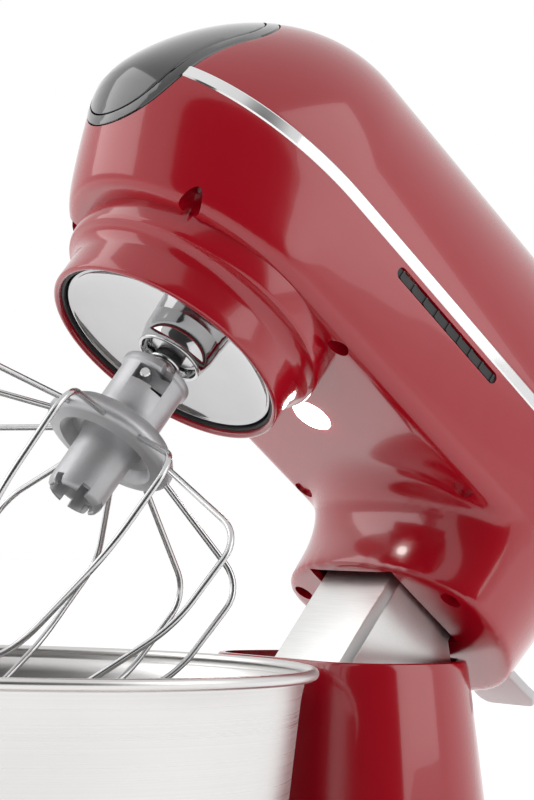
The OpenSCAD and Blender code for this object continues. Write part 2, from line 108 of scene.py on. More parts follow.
def edit():
    bpy.ops.object.mode_set(mode="EDIT")


def leave():
    bpy.ops.object.mode_set(mode="OBJECT")


def settle():
    bpy.ops.object.transform_apply(location=True, rotation=True, scale=True)


def laid(piece, place):
    """Turns and moves a piece and bakes that into its mesh."""
    piece.matrix_world = place
    take(piece)
    settle()
    return piece


def shift(x, y, z):
    return Matrix.Translation(Vector((x, y, z)) * MM)


def turn(degrees, axis="Z"):
    return Matrix.Rotation(math.radians(degrees), 4, axis)


def pick(kind, test):
    """Selects only the vertices or faces whose place, in millimetres, passes the test."""
    bpy.ops.mesh.select_mode(type=kind)
    bpy.ops.mesh.select_all(action="DESELECT")
    leave()
    mesh = bpy.context.object.data
    if kind == "VERT":
        for vertex in mesh.vertices:
            vertex.select = test(vertex.co / MM)
    else:
        for face in mesh.polygons:
            face.select = test(face.center / MM)
    edit()
    bpy.ops.mesh.select_mode(type=kind)


def pick_edges(test):
    """Selects only the edges whose two ends, in millimetres, pass the test."""
    bpy.ops.mesh.select_mode(type="EDGE")
    bpy.ops.mesh.select_all(action="DESELECT")
    leave()
    mesh = bpy.context.object.data
    for edge in mesh.edges:
        a, b = (mesh.vertices[i].co / MM for i in edge.vertices)
        edge.select = test(a, b)
    edit()
    bpy.ops.mesh.select_mode(type="EDGE")


def pull(x=0, y=0, z=0):
    bpy.ops.mesh.extrude_region_move(TRANSFORM_OT_translate={"value": (x * MM, y * MM, z * MM)})


def size_about(x, y, z, centre):
    bpy.ops.transform.resize(value=(x, y, z), center_override=[c * MM for c in centre])


def close_up():
    """Merges what meets and turns every face outwards."""
    bpy.ops.mesh.select_all(action="SELECT")
    bpy.ops.mesh.remove_doubles(threshold=0.002 * MM)
    bpy.ops.mesh.normals_make_consistent(inside=False)


def modified(piece, kind, **settings):
    """Adds a modifier with these settings and applies it."""
    take(piece)
    bpy.ops.object.modifier_add(type=kind)
    modifier = piece.modifiers[-1]
    for setting, value in settings.items():
        setattr(modifier, setting, value)
    bpy.ops.object.modifier_apply(modifier=modifier.name)
    return piece


def cut(piece, *tools, how="DIFFERENCE"):
    for tool in tools:
        modified(piece, "BOOLEAN", operation=how, object=tool, solver="EXACT")
        bpy.data.objects.remove(tool)
    return piece


def joined(*pieces):
    take(*pieces)
    bpy.ops.object.join()
    return pieces[0]


def softened(piece, width, steps=3, angle=35):
    return modified(piece, "BEVEL", width=width * MM, segments=steps, limit_method="ANGLE",
                    angle_limit=math.radians(angle), harden_normals=False)


def copy_of(piece, name):
    take(piece)
    bpy.ops.object.duplicate(linked=False)
    bpy.context.object.name = name
    return bpy.context.object


def arc(radius, height, curve, start, end, steps=6):
    """Points of (radius, height) on an arc about a centre, angles in degrees from level."""
    angles = [math.radians(start + (end - start) * i / steps) for i in range(steps + 1)]
    return [(radius + curve * math.cos(a), height + curve * math.sin(a)) for a in angles]


def point(name, x, y, z):
    """A piece of one vertex, left in edit mode to be pulled out."""
    clear()
    bpy.ops.mesh.primitive_plane_add(size=MM, location=(x * MM, y * MM, z * MM))
    piece = bpy.context.object
    piece.name = name
    settle()
    edit()
    bpy.ops.mesh.select_mode(type="VERT")
    bpy.ops.mesh.select_all(action="SELECT")
    bpy.ops.mesh.merge(type="CENTER")
    return piece


def turned(name, outline, steps=96, x=0, y=0):
    """An outline of (radius, height) spun round the upright line through x, y."""
    piece = point(name, x + outline[0][0], y, outline[0][1])
    for (r0, z0), (r1, z1) in zip(outline, outline[1:]):
        pull(x=r1 - r0, z=z1 - z0)
    bpy.ops.mesh.select_all(action="SELECT")
    bpy.ops.mesh.spin(steps=steps, angle=2 * math.pi, center=(x * MM, y * MM, 0), axis=(0, 0, 1))
    close_up()
    leave()
    return piece


def stadium(radius, front=-120, back=0, low=PANEL_LOW, high=PANEL_HIGH):
    """A long rounded block that runs front to back; its ends are round in the front view."""
    clear()
    bpy.ops.mesh.primitive_circle_add(vertices=64, radius=radius * MM, fill_type="NGON",
                                      rotation=(math.pi / 2, 0, 0), location=(0, front * MM, low * MM))
    piece = bpy.context.object
    settle()
    edit()
    pick("VERT", lambda p: p.z > low + 0.01)
    bpy.ops.transform.translate(value=(0, 0, (high - low) * MM))
    bpy.ops.mesh.select_all(action="SELECT")
    pull(y=back - front)
    close_up()
    leave()
    return piece


def block(low, high):
    """A box between two opposite corners."""
    clear()
    middle = [(a + b) / 2 * MM for a, b in zip(low, high)]
    bpy.ops.mesh.primitive_cube_add(size=1, location=middle)
    piece = bpy.context.object
    piece.scale = [(b - a) * MM for a, b in zip(low, high)]
    settle()
    return piece


def plate(name, outline, low, high, across="x"):
    """A flat outline given thickness: of (y, z) from x = low to high, or of (x, y) from z = low to high."""
    def at(corner):
        return (low, *corner) if across == "x" else (*corner, low)
    piece = point(name, *at(outline[0]))
    for a, b in zip(outline, outline[1:]):
        step = [q - p for p, q in zip(at(a), at(b))]
        pull(*step)
    bpy.ops.mesh.select_all(action="SELECT")
    bpy.ops.mesh.edge_face_add()
    if across == "x":
        pull(x=high - low)
    else:
        pull(z=high - low)
    close_up()
    leave()
    return piece


# ---- finishes ----
class Signal:
    """A value on its way to a socket; signs on it add Math nodes."""

    def __init__(self, finish, socket):
        self.finish = finish
        self.socket = socket

    def math(self, operation, *values):
        return self.finish.add("ShaderNodeMath", {"operation": operation}, dict(enumerate(values)))

    def __add__(self, other):
        return self.math("ADD", self, other)

    def __sub__(self, other):
        return self.math("SUBTRACT", self, other)

    def __rsub__(self, other):
        return self.math("SUBTRACT", other, self)

    def __mul__(self, other):
        return self.math("MULTIPLY", self, other)

    def __pow__(self, other):
        return self.math("POWER", self, other)

    __radd__ = __add__
    __rmul__ = __mul__


class Finish:
    """A material: its shader, its place on the piece, and the nodes that vary it."""

    def __init__(self, name, colour, roughness, metallic=0.0, centre=(0, 0, 0), tilt=0.0, **sockets):
        self.material = bpy.data.materials.new(name)
        self.material.use_nodes = True
        self.nodes = self.material.node_tree.nodes
        self.shader = self.nodes["Principled BSDF"]
        self.set("Base Color", (*colour, 1))
        self.set("Roughness", roughness)
        self.set("Metallic", metallic)
        for socket, value in sockets.items():
            self.set(socket.replace("_", " ").title().replace("Ior", "IOR"), value)
        self.material.diffuse_color = (*colour, 1)
        on_piece = self.add("ShaderNodeTexCoord", out="Object")
        self.place = self.add("ShaderNodeMapping", {"vector_type": "TEXTURE"},
                              {"Vector": on_piece, "Location": centre, "Rotation": (tilt, 0, 0)})

    def set(self, socket, value):
        self.shader.inputs[socket].default_value = value

    def add(self, kind, settings=None, inputs=None, out=0):
        node = self.nodes.new(kind)
        for setting, value in (settings or {}).items():
            if setting == "stops":
                while len(node.color_ramp.elements) < len(value):
                    node.color_ramp.elements.new(0.5)
                for element, (place, colour) in zip(node.color_ramp.elements, value):
                    element.position = place
                    element.color = (*colour, 1)
            else:
                setattr(node, setting, value)
        for socket, value in (inputs or {}).items():
            if isinstance(value, Signal):
                self.material.node_tree.links.new(value.socket, node.inputs[socket])
            else:
                node.inputs[socket].default_value = value
        return Signal(self, node.outputs[out])

    def feed(self, socket, signal):
        self.material.node_tree.links.new(signal.socket, self.shader.inputs[socket])
        return self

    def noise(self, scale, detail=3, stretch=(1, 1, 1), roughness=0.55):
        """Noise from 0 to 1; scale is in lumps per metre, stretch squeezes it along an axis."""
        where = self.add("ShaderNodeVectorMath", {"operation": "MULTIPLY"}, {0: self.place, 1: stretch})
        return self.add("ShaderNodeTexNoise", {}, {"Vector": where, "Scale": scale, "Detail": detail,
                                                    "Roughness": roughness}, out="Fac")

    def rings(self, scale, rise=1.0):
        """Fine rings round the upright axis of the place, as a tool leaves in turning."""
        parts = self.add("ShaderNodeSeparateXYZ", {}, {0: self.place})
        x = Signal(self, parts.socket.node.outputs[0])
        y = Signal(self, parts.socket.node.outputs[1])
        z = Signal(self, parts.socket.node.outputs[2])
        radius = (x * x + y * y) ** 0.5
        where = self.add("ShaderNodeCombineXYZ", {}, {0: radius * scale, 1: z * (scale * rise), 2: 0.3})
        return self.add("ShaderNodeTexNoise", {}, {"Vector": where, "Scale": 1, "Detail": 2}, out="Fac")

    def colours(self, factor, first, second):
        """Base colour that runs from the first to the second with the factor."""
        mixed = self.add("ShaderNodeMix", {"data_type": "RGBA"},
                         {0: factor, 6: (*first, 1), 7: (*second, 1)}, out=2)
        return self.feed("Base Color", mixed)

    def bump(self, height, depth, strength=1.0):
        normal = self.add("ShaderNodeBump", {},
                          {"Height": height, "Distance": depth * MM, "Strength": strength})
        return self.feed("Normal", normal)


def gloss_red():
    f = Finish("red_gloss", (0.36, 0.0022, 0.011), 0.14, coat_weight=0.6, coat_roughness=0.03,
               specular_ior_level=0.5)
    cloud = f.noise(14, 3)
    f.colours(cloud, (0.33, 0.002, 0.010), (0.39, 0.003, 0.013))
    f.feed("Roughness", 0.12 + f.noise(90, 4) * 0.1)
    return f.bump(f.noise(1400, 2), 0.004, 0.4).material


def gloss_black():
    f = Finish("black_gloss", (0.012, 0.012, 0.014), 0.1, coat_weight=1.0, coat_roughness=0.02)
    f.colours(f.noise(40, 3), (0.008, 0.008, 0.010), (0.02, 0.02, 0.022))
    f.feed("Roughness", 0.08 + f.noise(160, 4) * 0.14)
    return f.bump(f.noise(1500, 2), 0.003, 0.3).material


def satin_black():
    f = Finish("black_satin", (0.02, 0.02, 0.022), 0.5)
    f.colours(f.noise(60, 3), (0.014, 0.014, 0.016), (0.032, 0.032, 0.034))
    f.feed("Roughness", 0.42 + f.noise(300, 4) * 0.2)
    return f.bump(f.noise(2600, 3), 0.03, 0.6).material


def rubber():
    f = Finish("black_rubber", (0.018, 0.018, 0.018), 0.85)
    f.colours(f.noise(120, 4), (0.010, 0.010, 0.010), (0.034, 0.033, 0.032))
    f.feed("Roughness", 0.75 + f.noise(400, 3) * 0.2)
    return f.bump(f.noise(3000, 3), 0.05, 0.7).material


def chrome(name, centre, tilt, rings=1500, tone=0.86):
    f = Finish(name, (tone, tone, tone), 0.06, 1.0, centre, tilt)
    f.colours(f.noise(30, 3), (tone - 0.05, tone - 0.05, tone - 0.04), (tone + 0.04,) * 3)
    f.feed("Roughness", 0.03 + f.noise(120, 4) * 0.07)
    return f.bump(f.rings(rings), 0.0015, 0.4).material


def turned_steel(name, centre, tilt, tone=0.56, shine=0.24, scale=2600):
    f = Finish(name, (tone, tone, tone), shine, 1.0, centre, tilt, anisotropic=0.4)
    lines = f.rings(scale)
    f.colours(lines, (tone * 0.84, tone * 0.84, tone * 0.85), (tone * 1.12, tone * 1.12, tone * 1.12))
    f.feed("Roughness", shine - 0.06 + lines * 0.16)
    return f.bump(lines, 0.004, 0.5).material


def bowl_steel():
    f = Finish("bowl_steel", (0.72, 0.71, 0.70), 0.26, 1.0, tuple(BOWL_AXIS), 0.0, anisotropic=0.55)
    lines = f.rings(300, 9)
    smudge = f.noise(18, 3)
    f.colours(lines * 0.6 + smudge * 0.4, (0.62, 0.61, 0.60), (0.80, 0.79, 0.78))
    f.feed("Roughness", 0.2 + lines * 0.14 + smudge * 0.06)
    return f.bump(lines, 0.004, 0.5).material


def brushed_block():
    f = Finish("brushed_block", (0.74, 0.74, 0.73), 0.32, 1.0, tuple(HINGE), -HEAD_TILT)
    lines = f.noise(60, 4, (1, 60, 60), 0.7)
    f.colours(lines, (0.62, 0.62, 0.61), (0.86, 0.86, 0.85))
    f.feed("Roughness", 0.24 + lines * 0.22)
    return f.bump(lines, 0.01, 0.5).material


def cast_grey(name="hub_cast", dark=0.42, light=0.56, metallic=0.6):
    f = Finish(name, (light, light, light), 0.42, metallic)
    grain = f.noise(900, 4)
    f.colours(f.noise(70, 4) * 0.6 + grain * 0.4, (dark, dark, dark * 1.03), (light, light, light * 1.02))
    f.feed("Roughness", 0.32 + f.noise(240, 4) * 0.2)
    return f.bump(grain, 0.02, 0.5).material


def bronze():
    f = Finish("sintered_bronze", (0.5, 0.34, 0.13), 0.4, 1.0)
    grain = f.noise(1800, 4)
    f.colours(grain, (0.36, 0.22, 0.07), (0.62, 0.44, 0.18))
    f.feed("Roughness", 0.3 + grain * 0.3)
    return f.bump(grain, 0.02, 0.6).material


def windings():
    f = Finish("copper_windings", (0.4, 0.17, 0.07), 0.4, 0.8, tuple(HINGE), -HEAD_TILT)
    strands = f.noise(1100, 2, (1, 1, 0.12))
    f.colours(strands, (0.20, 0.07, 0.03), (0.62, 0.30, 0.14))
    f.feed("Roughness", 0.28 + strands * 0.3)
    return f.bump(strands, 0.12, 0.8).material


def carbon():
    f = Finish("carbon", (0.03, 0.03, 0.03), 0.6)
    grain = f.noise(1500, 4)
    f.colours(grain, (0.015, 0.015, 0.016), (0.06, 0.06, 0.06))
    f.feed("Roughness", 0.45 + grain * 0.3)
    return f.bump(grain, 0.02, 0.5).material


def circuit_board():
    f = Finish("circuit_board", (0.02, 0.12, 0.05), 0.4, coat_weight=0.3)
    tracks = f.add("ShaderNodeTexBrick", {},
                   {"Vector": f.place, "Scale": 220.0, "Mortar Size": 0.03}, out="Fac")
    f.colours(tracks, (0.012, 0.09, 0.035), (0.10, 0.30, 0.12))
    f.feed("Roughness", 0.3 + f.noise(300, 3) * 0.25)
    return f.bump(tracks, 0.04, 0.5).material


def lit_lens():
    f = Finish("lit_lens", (0.95, 0.95, 0.92), 0.25, emission_strength=16.0, coat_weight=0.5)
    cells = f.add("ShaderNodeTexVoronoi", {}, {"Vector": f.place, "Scale": 900.0}, out="Distance")
    f.colours(cells, (0.90, 0.90, 0.86), (1.0, 1.0, 0.97))
    mixed = f.add("ShaderNodeMix", {"data_type": "RGBA"},
                  {0: cells, 6: (1, 0.98, 0.92, 1), 7: (0.8, 0.8, 0.78, 1)}, out=2)
    f.feed("Emission Color", mixed)
    return f.bump(cells, 0.05, 0.5).material


def lever_plastic():
    f = Finish("lever_plastic", (0.62, 0.63, 0.64), 0.42)
    f.colours(f.noise(50, 3), (0.58, 0.59, 0.60), (0.70, 0.71, 0.72))
    f.feed("Roughness", 0.36 + f.noise(260, 4) * 0.16)
    return f.bump(f.noise(2200, 3), 0.02, 0.5).material


SHAFT_LINE = RAISE @ (Vector((SHAFT_X, SHAFT_Y, 0)) * MM)
MAIN_LINE = RAISE @ Vector((0, 0, 0))
RED = gloss_red()
BLACK_GLOSS = gloss_black()
BLACK = satin_black()
RUBBER = rubber()
# painted shade: the dish's chrome has a darker tone, 0.5, which paints in the dark reflection of the bowl and room
# that it faces
DISH_CHROME_PAINTED_SHADE = chrome("dish_chrome_painted_shade", tuple(MAIN_LINE), -HEAD_TILT, tone=0.5)
CUP_CHROME = chrome("cup_chrome", tuple(SHAFT_LINE), -HEAD_TILT, tone=0.55)
TRIM_CHROME = chrome("trim_chrome", tuple(MAIN_LINE), -HEAD_TILT, 400)
SHAFT_STEEL = turned_steel("shaft_steel", tuple(SHAFT_LINE), -HEAD_TILT, 0.62, 0.18)
STEEL = turned_steel("plain_steel", tuple(HINGE), 0.0)
BOWL_STEEL = bowl_steel()
BLOCK_STEEL = brushed_block()
HUB_GREY = cast_grey()
CAST = cast_grey("cast_aluminium", 0.34, 0.56, 0.9)
LENS = lit_lens()
LEVER = lever_plastic()
BY_SLOT = {"red_shell": RED, "black_plastic": BLACK, "rubber_black": RUBBER, "bright_trim": TRIM_CHROME,
           "black_gloss": BLACK_GLOSS, "steel_bowl": BOWL_STEEL, "steel": STEEL, "light_metal": CAST,
           "gear_brass": bronze(), "motor_core": windings(), "carbon": carbon(), "board": circuit_board(),
           "lens": LENS, "lever_grey": LEVER, "hub_grey": HUB_GREY}


def dressed(piece, material):
    piece.data.materials.clear()
    piece.data.materials.append(material)
    return piece


def finished(piece, material, body, slot, *nodes, place=RAISE, angle=40):
    """Puts a made piece in its place, dresses it and gives it to its body."""
    take(piece)
    bpy.ops.object.shade_smooth_by_angle(angle=math.radians(angle))
    piece.matrix_world = place @ piece.matrix_world
    settle()
    dressed(piece, material)
    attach(piece, body)
    if nodes:
        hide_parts(*nodes)
    return piece


# ---- head ----
def plan_step(z, was, now, nose=0, back=STRAIGHT):
    """Resizes the ring at height z from one set of half width, nose and back lengths to the next.

    The nose half grows about y = nose and the back half about y = back; the whole ring is left picked.
    """
    for front in (True, False):
        pick("VERT", lambda p: abs(p.z - z) < 0.01 and (p.y < (nose + back) / 2) == front)
        length = now[1] / was[1] if front else now[2] / was[2]
        size_about(now[0] / was[0], length, 1, (0, nose if front else back, z))
    pick("VERT", lambda p: abs(p.z - z) < 0.01)


def head_skin(name, below):
    """The head's outer skin from its crown down: to the band, or with the lower body as well."""
    clear()
    bpy.ops.mesh.primitive_uv_sphere_add(segments=128, ring_count=SPHERE_RINGS, radius=HEAD_WIDTH * MM,
                                         location=(0, 0, BAND_Z * MM))
    piece = bpy.context.object
    piece.name = name
    settle()
    edit()
    pick("VERT", lambda p: p.z < BAND_Z - 0.1)
    bpy.ops.mesh.delete(type="VERT")
    bpy.ops.mesh.select_all(action="SELECT")
    size_about(1, 1, ARCH / HEAD_WIDTH, (0, 0, BAND_Z))
    pick("VERT", lambda p: p.y < -0.01)
    size_about(1, NOSE_LENGTH / HEAD_WIDTH, 1, (0, 0, BAND_Z))
    for ring in range(1, SPHERE_RINGS // 2):
        angle = math.pi * ring / SPHERE_RINGS
        rise, reach = math.cos(angle), math.sin(angle)
        pick("VERT", lambda p: p.y < -0.01 and abs(p.z - BAND_Z - ARCH * rise) < 0.02)
        size_about(1, (1 - rise ** NOSE_SLANT) ** (1 / NOSE_ROUND) / reach, 1, (0, 0, BAND_Z))
    pick("VERT", lambda p: p.y > 0.01)
    size_about(1, BACK_LENGTH / HEAD_WIDTH, 1, (0, 0, BAND_Z))
    bpy.ops.transform.translate(value=(0, STRAIGHT * MM, 0))
    if below:
        was = (HEAD_WIDTH, NOSE_LENGTH, BACK_LENGTH)
        top = BAND_Z
        pick("VERT", lambda p: p.z < BAND_Z + 0.01)
        for z, *now in LOWER_BODY:
            pull(z=z - top)
            plan_step(z, was, now)
            was, top = now, z
    bpy.ops.mesh.select_all(action="SELECT")
    bpy.ops.mesh.normals_make_consistent(inside=False)
    leave()
    return piece


def neck():
    """The foot of the arm: round in front and behind, swept out to meet the head's underside."""
    clear()
    bpy.ops.mesh.primitive_circle_add(vertices=96, radius=10 * MM, fill_type="NGON",
                                      location=(0, NECK_MIDDLE * MM, NECK_RIM * MM))
    piece = bpy.context.object
    settle()
    edit()
    was = (10, 10, 10)
    now = (56.2, 27.6, 59.6)
    plan_step(NECK_RIM, was, now, NECK_MIDDLE, NECK_MIDDLE)
    top = NECK_RIM
    rises = [193, SWEEP_FOOT, 208, 212, 216, 220, 223, 225.5, 227, 227.5, 245]
    for z in rises:
        pull(z=z - top)
        lift = min(max(z - SWEEP_FOOT, 0), SWEEP)
        out = SWEEP - math.sqrt(SWEEP ** 2 - lift ** 2)
        was, now = now, (min(56.6 + (z - 193) * 0.056, 59), 28 + out, min(60 + (z - 193) * 0.12, 65.5))
        plan_step(z, was, now, NECK_MIDDLE, NECK_MIDDLE)
        top = z
    close_up()
    leave()
    return piece


def rod(radius, low, high, x=0, y=0, steps=24):
    """An upright cylinder."""
    return turned("rod", [(0, low), (radius, low), (radius, high), (0, high)], steps, x, y)


def at_screws(radius, low, length):
    """Upright rods at all the screws, from low above each hole's mouth."""
    return joined(*(rod(radius, z + low, z + low + length, side * x, y)
                    for x, y, z in SCREWS for side in (-1, 1)))


def upper_shell():
    """The crown of the arm, a thin shell open to the band, with a notch for the nose panel."""
    shell = head_skin("crown_shell", False)
    modified(shell, "SOLIDIFY", thickness=SHELL * MM, offset=-1)
    cut(shell, stadium(PANEL))
    softened(shell, 0.5, 3, 50)
    finished(shell, RED, "head", "red_shell", "upper_shell")


def lower_shell():
    """The lower half of the arm run into the neck: one skin, hollowed, with bosses round the screws."""
    skin = head_skin("arm_shell", True)
    take(skin)
    edit()
    pick("VERT", lambda p: p.z < LOWER_BODY[-1][0] + 0.01)
    bpy.ops.mesh.edge_face_add()
    close_up()
    leave()
    shell = joined(skin, neck())
    modified(shell, "REMESH", mode="VOXEL", voxel_size=1.7 * MM)
    modified(shell, "SMOOTH", factor=0.5, iterations=10)
    hollow = copy_of(shell, "hollow")
    edit()
    bpy.ops.mesh.select_all(action="SELECT")
    bpy.ops.transform.shrink_fatten(value=-SHELL * MM)
    leave()
    modified(hollow, "REMESH", mode="VOXEL", voxel_size=2.4 * MM)
    cut(hollow, at_screws(HOLE_RADIUS + 2.2, -2, 22))
    cut(shell, stadium(PANEL, -120.3, -0.4))
    cut(shell, hollow)
    cut(shell, block((-80, -120, BAND_Z), (80, 260, 380)))
    cut(shell, rod(47.5, 190, 240, steps=64))
    cut(shell, at_screws(HOLE_RADIUS, 0, HOLE_DEPTH))
    cut(shell, block((-26, 125, 185), (26, 171, 197)))
    cut(shell, block((-18.6, 197, 198.6), (18.6, 222, 210.6)))
    cut(shell, rod(8.8, 220, 234, 0, LAMP_Y, 48))
    for side in (-1, 1):
        slot = block((min(side * 57, side * 64), 31.5, 263.2), (max(side * 57, side * 64), 96.5, 268.2))
        take(slot)
        edit()
        pick_edges(lambda a, b: abs(a.y - b.y) < 0.01 and abs(a.z - b.z) < 0.01)
        bpy.ops.mesh.bevel(offset=2.4 * MM, segments=6, affect="EDGES")
        leave()
        cut(shell, slot)
    finished(shell, RED, "head", "red_shell", "lower_shell")


def tower():
    """The round skirt with the rolled lip that the disc turns in, and a black ring inside the lip that paints the
    shade in the gap.
    """
    outline = [(47.4, 205), (47.4, 199.2)]
    outline += arc(48.7, 199.3, 1.3, 180, 360, 8)
    outline += [(50, 203), (50, 211)]
    outline += arc(57.5, 211, 7.5, 180, 108, 10)
    outline += [(55.6, 219), (55.8, 220), (55.8, 229), (47.4, 229), (47.4, 205)]
    piece = turned("drive_tower", outline, 128)
    cut(piece, at_screws(HOLE_RADIUS, 0, HOLE_DEPTH))
    finished(piece, RED, "head", "red_shell", "lower_shell")
    # painted shade: a black ring set just inside the lip darkens the gap between the disc and the skirt
    gap = turned("drive_gap_painted_shade_ring", [(47.3, 200), (47.3, 222), (44.2, 222), (44.2, 219.5), (46.2, 219.5),
                                     (46.2, 200), (47.3, 200)], 96)
    finished(gap, BLACK, "head", "black_plastic", "lower_shell")


def trim_band():
    """The bright band between the shells, a strip bent round the head."""
    clear()
    bpy.ops.mesh.primitive_circle_add(vertices=128, radius=HEAD_WIDTH * MM, location=(0, 0, 270.3 * MM))
    piece = bpy.context.object
    piece.name = "trim_strip"
    settle()
    edit()
    pick("VERT", lambda p: p.y < -0.01)
    size_about(1, NOSE_LENGTH / HEAD_WIDTH, 1, (0, 0, BAND_Z))
    pick("VERT", lambda p: p.y > 0.01)
    size_about(1, BACK_LENGTH / HEAD_WIDTH, 1, (0, 0, BAND_Z))
    bpy.ops.transform.translate(value=(0, STRAIGHT * MM, 0))
    section = [(0.05, 270.3), (0.45, 270.9), (0.45, 275.0), (0.05, 275.6), (-1.6, 275.6), (-1.6, 270.3),
               (0.05, 270.3)]
    offset, top = 0, 270.3
    bpy.ops.mesh.select_all(action="SELECT")
    for index, (out, z) in enumerate(section):
        if index:
            pull(z=z - top)
        was = (HEAD_WIDTH + offset, NOSE_LENGTH + offset, BACK_LENGTH + offset)
        now = (HEAD_WIDTH + out, NOSE_LENGTH + out, BACK_LENGTH + out)
        shape_ring(was, now, z)
        offset, top = out, z
    close_up()
    leave()
    cut(piece, stadium(PANEL - 0.15))
    finished(piece, TRIM_CHROME, "head", "bright_trim", "trim_band", angle=25)


def shape_ring(was, now, z):
    """Grows or shrinks the selected ring in its own plane, nose and back each about their own centre."""
    leave()
    mesh = bpy.context.object.data
    ring = [v.index for v in mesh.vertices if v.select]
    edit()
    for front in (True, False):
        bpy.ops.mesh.select_all(action="DESELECT")
        leave()
        for index in ring:
            mesh.vertices[index].select = (mesh.vertices[index].co.y / MM < STRAIGHT / 2) == front
        edit()
        length = now[1] / was[1] if front else now[2] / was[2]
        size_about(now[0] / was[0], length, 1, (0, 0 if front else STRAIGHT, z))
    bpy.ops.mesh.select_all(action="DESELECT")
    leave()
    for index in ring:
        mesh.vertices[index].select = True
    edit()
    bpy.ops.mesh.select_mode(type="VERT")


def nose_body():
    """The front of the head's skin as a thick solid, from which the black pieces are cut."""
    nose = head_skin("nose_part", True)
    take(nose)
    edit()
    bpy.ops.mesh.select_all(action="SELECT")
    bpy.ops.mesh.bisect(plane_co=(0, -25 * MM, 0), plane_no=(0, 1, 0), clear_outer=True)
    leave()
    return modified(nose, "SOLIDIFY", thickness=3.4 * MM, offset=-0.86)


def nose_pieces():
    """The black frame in the nose, the cover that pulls out of it and the three dots on the cover."""
    body = nose_body()
    bezel = copy_of(body, "nose_bezel_frame")
    cut(bezel, stadium(PANEL - 0.5), how="INTERSECT")
    cut(bezel, stadium(PANEL - 3.6))
    softened(bezel, 0.45, 3, 50)
    finished(bezel, BLACK_GLOSS, "head", "black_gloss", "nose_bezel")
    cover = cut(body, stadium(PANEL - 4.3), how="INTERSECT")
    cover.name = "nose_cover_panel"
    softened(cover, 0.6, 3, 50)
    finished(cover, BLACK_GLOSS, "cover", "black_gloss", "nose_cover")
    dots = []
    for across in (-4.5, 0, 4.5):
        dot = turned("dot", [(0, 1.0)] + arc(0, 0, 1.25, 70, 20, 4) + [(1.5, 0), (1.5, -3), (0, -3)], 24)
        dots.append(laid(dot, shift(across, -80.6 + across * across * 0.013, 260) @ turn(102, "X")))
    marks = joined(*dots)
    marks.name = "cover_dots"
    finished(marks, BLACK_GLOSS, "cover", "black_gloss", "nose_cover")


def lamp():
    glass = turned("lamp_lens", [(0, 225.6), (3, 225.7), (5.6, 226.1), (7.6, 226.8), (8.6, 227.6),
                                 (8.6, 232), (0, 232)], 48, 0, LAMP_Y)
    finished(glass, LENS, "head", "lens", "led_lens")


# ---- turning disc, shaft and whisk ----
def drive_disc():
    """The bright shallow dish and, off its middle, the cup that the whisk's shaft comes out of."""
    outline = [(0, 206), (12, 205.8), (24, 205), (34, 203.8), (40, 202.7), (43.4, 201.7)]
    outline += arc(44.7, 202, 1.0, 220, 380, 6)
    outline += [(45.4, 205), (40, 207), (40, 218), (0, 218)]
    disc = turned("drive_disc", outline, 160)
    finished(disc, DISH_CHROME_PAINTED_SHADE, "carrier", "bright_trim", "planet_carrier")
    cup = [(5.7, 206.4), (14.9, 206.4), (14.9, 203.5), (14.6, 199), (13.7, 195.4), (13.1, 193.6),
           (13.2, 192.7)]
    cup += arc(12.5, 192.5, 0.75, 10, -190, 8)
    cup += [(11.6, 193.6), (11.3, 196.4), (9.9, 197), (9.7, 198.2), (5.7, 198.2), (5.7, 206.4)]
    piece = turned("shaft_cup", cup, 96, SHAFT_X, SHAFT_Y)
    finished(piece, CUP_CHROME, "carrier", "bright_trim", "planet_carrier")


def shaft():
    """The whisk's shaft with its clip, washer and cross pin."""
    outline = [(0, 163), (4.6, 163), (5.4, 164), (5.4, 188.4), (4.7, 188.7), (4.7, 189.9), (5.4, 190.2),
               (5.4, 220.8), (0, 220.8)]
    piece = turned("beater_spindle", outline, 64, SHAFT_X, SHAFT_Y)
    ring = turned("spindle_clip", [(4.75, 188.8), (6.3, 188.8), (6.5, 189.3), (6.3, 189.8), (4.75, 189.8),
                                   (4.75, 188.8)], 48, SHAFT_X, SHAFT_Y)
    washer = turned("spindle_washer", [(5.45, 195.2), (9.0, 195.2), (9.4, 195.6), (9.4, 196.6),
                                       (5.45, 196.6), (5.45, 195.2)], 48, SHAFT_X, SHAFT_Y)
    pin = turned("pin", [(0, -12.6), (1.6, -12.6), (2.1, -12.1), (2.1, 12.1), (1.6, 12.6), (0, 12.6)], 32)
    laid(pin, shift(SHAFT_X, SHAFT_Y, 177.2) @ turn(SHAFT_TURN + PIN_TURN) @ turn(90, "Y"))
    spindle = joined(piece, ring, washer, pin)
    finished(spindle, SHAFT_STEEL, "planet", "steel", "beater_shaft")


def whisk_hub():
    """The whisk's socket: a sleeve with two keyed windows, a domed flange and a notched core."""
    outline = [(6, 184), (13.2, 184)]
    outline += arc(13.4, 183.4, 0.6, 90, 0, 3)
    outline += [(14, 181.2), (13.4, 180.7), (13, 180), (13, 163.4)]
    outline += arc(14.6, 161.2, 1.9, 150, 250, 4)
    outline += [(17, 159.2), (21, 157.8), (24.2, 155.2)]
    outline += arc(23.2, 150.6, 3.4, 30, -90, 7)
    outline += [(19.5, 146.6), (17.6, 148), (16.8, 151.2), (12.8, 151.6), (11.7, 149.4), (11.3, 146),
                (11.1, 126.4), (10.4, 124.6), (9.4, 124), (8.6, 124.4), (8.3, 126), (8.3, 143), (6, 144),
                (6, 184)]
    hub = turned("whisk_hub_body", outline, 96)
    for side in (0, 180):
        for low, high in (((7, -3.4, 173.2), (16, 9.5, 179.8)), ((7, 5.0, 172), (16, 9.5, 190))):
            cut(hub, laid(block(low, high), turn(PIN_TURN + side)))
    for angle in (0, 60, 120):
        cut(hub, laid(block((-16, -1.8, 121), (16, 1.8, 127.6)), turn(angle)))
    softened(hub, 0.35, 2, 50)
    laid(hub, shift(SHAFT_X, SHAFT_Y, 0) @ turn(SHAFT_TURN))
    finished(hub, HUB_GREY, "whisk", "hub_grey", "whisk_hub")


